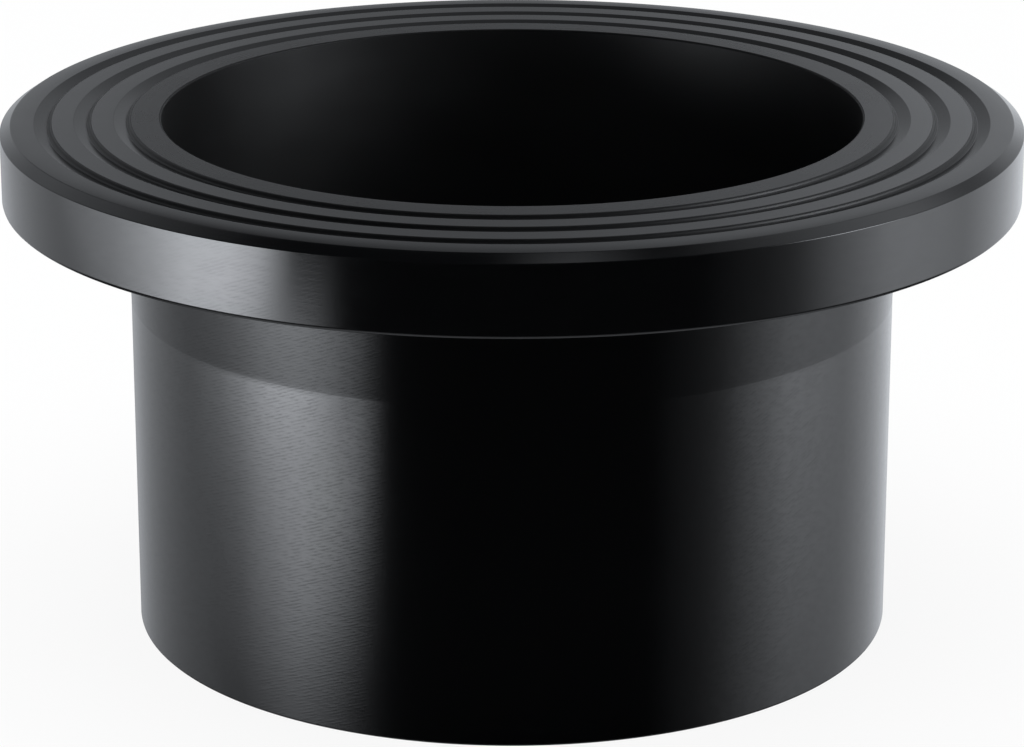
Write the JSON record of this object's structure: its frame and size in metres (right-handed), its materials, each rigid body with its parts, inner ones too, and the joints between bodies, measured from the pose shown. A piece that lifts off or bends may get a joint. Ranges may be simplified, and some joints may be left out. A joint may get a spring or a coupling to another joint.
{
  "type": "stub end",
  "caption": "Black polyethylene stub end: a thick round collar with a grooved sealing face on a plain spigot, for a loose backing flange and a butt weld to pipe.",
  "frame": {"origin": "centre of the spigot's end face, on the axis, which is the surface that the part stands on", "axes": "+Z along the bore axis, from the spigot's end to the grooved sealing face"},
  "size_m": [0.212, 0.212, 0.109],
  "materials": {
    "black_polyethylene": "turned black polyethylene, semi-gloss, with fine tool marks round the side and the spigot"
  },
  "bodies": {
    "root": {"stub_end": "black_polyethylene"}
  },
  "joints": []
}
